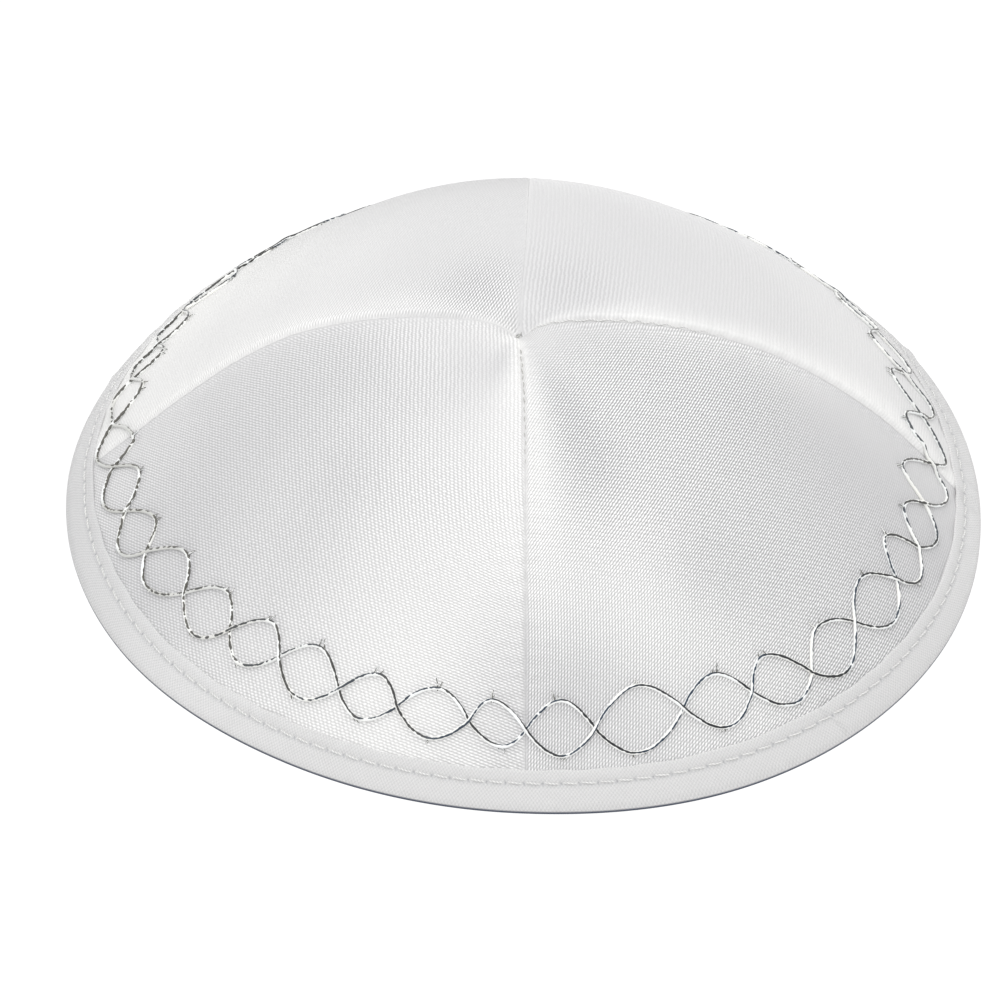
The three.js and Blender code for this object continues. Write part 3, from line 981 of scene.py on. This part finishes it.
def satin_material(panel):
    """White satin: staggered floats that stand out as a fine lattice, and painted sheen and painted shade
    across them.
    """
    n = Nodes(panel.replace("panel", "white_satin"))
    u, v = uv_of(n, "weave")
    noise = n.node("ShaderNodeTexNoise", {"Scale": 900.0, "Detail": 2.0})
    slow = n.node("ShaderNodeTexNoise", {"Scale": 90.0, "Detail": 2.0})
    u = n.maths("ADD", u, n.maths("MULTIPLY_ADD", slow.outputs[0], 0.5, -0.25))
    v = n.maths("ADD", v, n.maths("MULTIPLY_ADD", noise.outputs[0], 0.3, -0.15))
    rows, contrast = WEAVE_LOOK[panel]
    waves = {
        "columns": n.wave(u, v, 1 / COLUMN_PITCH, 0.0),
        "rising": n.wave(u, v, STAGGER / COLUMN_PITCH, rows),
        "falling": n.wave(u, v, (1 - STAGGER) / COLUMN_PITCH, -rows),
    }
    total = 0.0
    for line, wave in waves.items():
        total = n.maths("MULTIPLY_ADD", wave, n.attribute(line), total)
    grain = n.maths("MULTIPLY_ADD", noise.outputs[0], 0.6, -0.3)
    floats = n.maths("ADD", total, grain)
    # painted sheen and shade: it lightens or darkens the satin, and makes painted highlights a little
    # warmer and painted shade a little cooler
    painted_sheen_and_shade = n.attribute("painted_sheen_and_shade")
    tone = n.maths("POWER", n.maths("MULTIPLY_ADD", painted_sheen_and_shade, 1.1, 1.0), 2.2)
    strength = n.maths("MULTIPLY", n.attribute("clarity"), contrast)
    weave = n.maths("MULTIPLY_ADD", floats, strength, 1.0)
    level = n.maths("MULTIPLY", n.maths("MULTIPLY", tone, weave), SATIN_ALBEDO)
    level = n.maths("MINIMUM", level, 0.99)
    green = n.maths("MULTIPLY", level, 0.996)
    blue = n.maths("MULTIPLY", level, n.maths("MULTIPLY_ADD", painted_sheen_and_shade, -0.16, 1.0))
    white = n.node("ShaderNodeCombineColor", {0: level, 1: green, 2: blue})
    n.set(Base_Color=white.outputs[0], Roughness=0.5, Specular_IOR_Level=0.2, Anisotropic=0.6)
    tangent = n.node("ShaderNodeTangent", direction_type="UV_MAP", uv_map="weave")
    n.link(tangent.outputs[0], n.shader.inputs["Tangent"])
    n.bump(total, FABRIC_BUMP)
    return n.material


def cotton_material():
    """Matte plain-weave cotton, cut on the bias so that its threads run at 45 degrees to the tape."""
    n = Nodes("white_cotton")
    u, v = uv_of(n, "weave")
    patch = n.node("ShaderNodeTexNoise", {"Scale": 1500.0, "Detail": 3.0})
    u = n.maths("ADD", u, n.maths("MULTIPLY_ADD", patch.outputs[0], 0.3, -0.15))
    warp = n.wave(u, v, 1.4, 1.3)
    weft = n.wave(u, v, 1.6, -1.2)
    weave = n.maths("MULTIPLY_ADD", n.maths("ADD", warp, weft), 0.22, 0.43)
    height = n.maths("ADD", n.maths("MULTIPLY_ADD", patch.outputs[0], 5.6, -2.8), weave)
    colour = n.mix(n.ramp(height, -0.4, 1.4), (0.636, 0.634, 0.634, 1), (0.956, 0.951, 0.948, 1))
    # painted shade and painted contact shadow from the tape's shade attribute, in a dark blue-grey
    colour = n.mix(n.attribute("shade"), colour, (0.045, 0.06, 0.10, 1))
    n.set(Base_Color=colour, Roughness=0.9, Specular_IOR_Level=0.25)
    n.bump(height, FABRIC_BUMP)
    return n.material


def shadowed_thread_material():
    """Sewing thread that lies down in the front seam or in the crown's dimple, painted greyer than the rest
    as shade.
    """
    n = Nodes("shadowed_sewing_thread")
    u, v = uv_of(n, "thread")
    colour = n.mix(n.wave(u, v, 2.0, 1.0), (0.42, 0.42, 0.40, 1), (0.60, 0.595, 0.58, 1))
    n.set(Base_Color=colour, Roughness=0.9)
    return n.material


def sewing_thread_material():
    n = Nodes("white_sewing_thread")
    u, v = uv_of(n, "thread")
    ply = n.wave(u, v, 1.6, 2.0)
    height = n.maths("MULTIPLY_ADD", ply, 0.5, 0.5)
    colour = n.mix(height, (0.60, 0.60, 0.59, 1), (0.84, 0.84, 0.83, 1))
    n.set(Base_Color=colour, Roughness=0.6, Specular_IOR_Level=0.4)
    n.bump(height, THREAD_BUMP)
    return n.material


def metallic_thread_material():
    """Silver foil wound on a core, with a painted reflection: a dark line runs along it on the side that
    DARK_SIDE faces, wanders round it, is bluer where the thread runs up, and breaks up and greys on the
    cap's left and right, where thread that runs up is painted a duller grey as well."""
    n = Nodes("silver_metallic_thread")
    u, v = uv_of(n, "thread")
    place = n.node("ShaderNodeTexCoord").outputs["Object"]
    slow = n.node("ShaderNodeTexNoise", {"Vector": place, "Scale": 170.0, "Detail": 1.0})
    fine = n.node("ShaderNodeTexNoise", {"Vector": place, "Scale": 1250.0, "Detail": 1.0})
    falling = n.attribute("falling")
    side_breakup = n.attribute("side_breakup")
    wander = n.maths("MULTIPLY_ADD", slow.outputs[0], 3.4, -1.7 - math.pi / 2)
    wander = n.maths("ADD", wander, n.maths("MULTIPLY_ADD", falling, -0.05, 0.22))
    line = n.wave(u, v, 0.0, 1.0, wander)
    specks = n.maths("MULTIPLY_ADD", fine.outputs[0], 2.0, -1.0)
    # the painted dark line breaks into specks, most on the cap's left and right
    broken = n.maths("MULTIPLY", specks, n.maths("MULTIPLY_ADD", side_breakup, 0.55, 0.3))
    line = n.maths("ADD", n.maths("ADD", line, broken), n.maths("MULTIPLY_ADD", falling, 0.08, -0.04))
    line = n.maths("MULTIPLY_ADD", side_breakup, 0.02, line)
    # painted dark reflection: the dark line along the thread
    dark = n.ramp(line, 0.77, 0.87)
    tint = n.mix(slow.outputs[0], (0.93, 0.97, 1.0, 1), (1.0, 0.98, 0.92, 1))
    dark_reflection = n.mix(falling, (0.012, 0.032, 0.065, 1), (0.012, 0.014, 0.018, 1))
    dark_reflection = n.mix(side_breakup, dark_reflection, (0.12, 0.115, 0.10, 1))
    rising = n.maths("MULTIPLY_ADD", falling, -0.8, 0.8)
    dull = n.maths("MULTIPLY", n.maths("MULTIPLY", side_breakup, side_breakup), rising)
    tint = n.mix(dull, tint, (0.52, 0.52, 0.49, 1))
    colour = n.mix(dark, tint, dark_reflection)
    n.set(Base_Color=colour, Roughness=0.3, Metallic=0.05)
    return n.material


# ---------------------------------------------------------------- stage


FLOOR_SIZE = 3.0  # metres from its middle to each side
FLOOR_DROP = 0.00005  # metres, to keep it clear of the tape's foot
WORLD_LIGHT = 0.72
CAMERA_ELEVATION = 42.0
CAMERA_DISTANCE = 1.0  # metres
CAMERA_ROLL = 0.8
CAMERA_LENS = 199.1
LIGHTS_AIM = Vector((0, 0, 0.02))  # metres


def floor():
    """A plain white ground that glows, so that the cap leaves no shadow on it."""
    size = FLOOR_SIZE
    points = [(-size, -size, 0), (size, -size, 0), (size, size, 0), (-size, size, 0)]
    piece = make_mesh("floor", points, [(0, 1, 2, 3)], smooth_faces=False)
    piece.location.z = -FLOOR_DROP
    n = Nodes("white_floor")
    n.set(Base_Color=(0.03, 0.03, 0.03, 1), Roughness=1.0, Specular_IOR_Level=0.0)
    n.set(Emission_Color=(1, 1, 1, 1), Emission_Strength=1.03)
    piece.data.materials.append(n.material)


def area_light(name, place, power, size):
    data = bpy.data.lights.new(name, "AREA")
    data.energy, data.size = power, size
    light = bpy.data.objects.new(name, data)
    light.location = place
    light.rotation_euler = (LIGHTS_AIM - Vector(place)).to_track_quat("-Z", "Y").to_euler()
    bpy.context.scene.collection.objects.link(light)


def studio():
    world = bpy.data.worlds.new("studio")
    world.use_nodes = True
    background = world.node_tree.nodes["Background"]
    background.inputs["Color"].default_value = (1, 1, 1, 1)
    background.inputs["Strength"].default_value = WORLD_LIGHT
    bpy.context.scene.world = world
    area_light("overhead", (0.0, 0.1, 1.1), 5.0, 0.9)
    area_light("front", (-0.3, -0.9, 1.0), 3.0, 0.6)
    bpy.context.scene.view_settings.view_transform = "Standard"


def camera():
    target = Vector(((CROWN[0] - 3.7) * MM, (CROWN[1] + 0.4) * MM, 0.0))
    tilt = math.radians(CAMERA_ELEVATION)
    back = Vector((0, -math.cos(tilt), math.sin(tilt)))
    data = bpy.data.cameras.new("camera")
    data.sensor_width, data.lens = 36.0, CAMERA_LENS
    seen = bpy.data.objects.new("camera", data)
    place = Matrix.Translation(target + back * CAMERA_DISTANCE)
    turn = (-back).to_track_quat("-Z", "Y").to_matrix().to_4x4()
    seen.matrix_world = place @ turn @ Matrix.Rotation(math.radians(CAMERA_ROLL), 4, "Z")
    data.clip_start, data.clip_end = 0.05, 20.0
    bpy.context.scene.collection.objects.link(seen)
    bpy.context.scene.camera = seen


camera()
floor()
studio()
for panel in PANELS:
    satin_panel(panel, satin_material(panel))
binding(cotton_material())
sewing = sewing_thread_material()
topstitch(sewing)
shadowed = shadowed_thread_material()
crown_tack(sewing, shadowed)
seam_edge("front_seam_stitches", "front", (0.085, 0.46), 0.0, 0.09, 0.09, shadowed)
seam_edge("right_seam_edge", "right", (0.012, 0.46), 0.2, 0.19, 0.03, sewing)
silver = metallic_thread_material()
embroidery(silver)
couching(silver)
